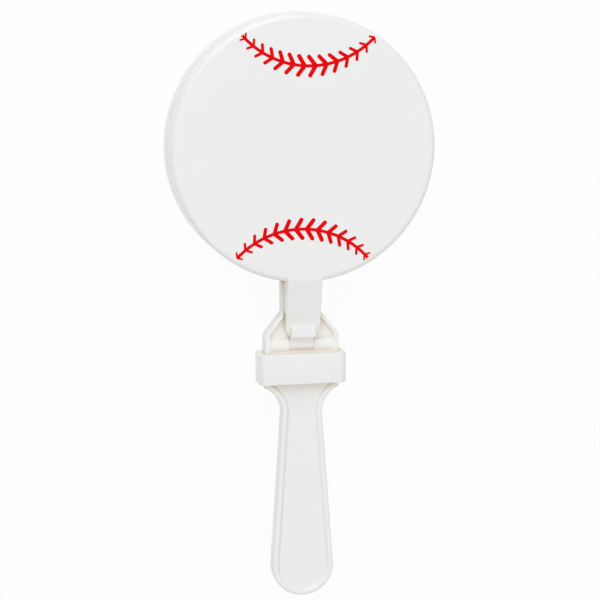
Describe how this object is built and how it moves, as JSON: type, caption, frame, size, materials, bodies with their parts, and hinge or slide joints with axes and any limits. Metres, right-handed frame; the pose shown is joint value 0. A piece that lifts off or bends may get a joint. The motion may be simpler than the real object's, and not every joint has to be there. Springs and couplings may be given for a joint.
{
  "type": "hand clapper",
  "caption": "Toy hand clapper: a flat handle carries a fixed round paddle, and a second paddle printed with a ball's red stitching swings on a cross pin and claps against it.",
  "frame": {"origin": "middle of the rear paddle's back face, which it lies on", "axes": "+Z from the back face to the front face, +Y from the handle to the paddles' top, +X to the right seen from the front"},
  "size_m": [0.095, 0.212, 0.019],
  "materials": {
    "white_plastic": "smooth moulded white",
    "red_print": "stamped red print"
  },
  "bodies": {
    "handle_frame": {"handle": "white_plastic", "collar": "white_plastic", "rear_paddle": "white_plastic", "hinge_pin": "white_plastic", "rear_seam_upper": "red_print", "rear_seam_lower": "red_print"},
    "swing_paddle": {"front_paddle": "white_plastic", "front_seam_upper": "red_print", "front_seam_lower": "red_print"}
  },
  "joints": [
    {"name": "paddle_hinge", "type": "hinge", "parent": "handle_frame", "child": "swing_paddle", "pos_m": [0, -0.0711, 0.0095], "axis": [1, 0, 0], "range_deg": [0, 50]}
  ]
}
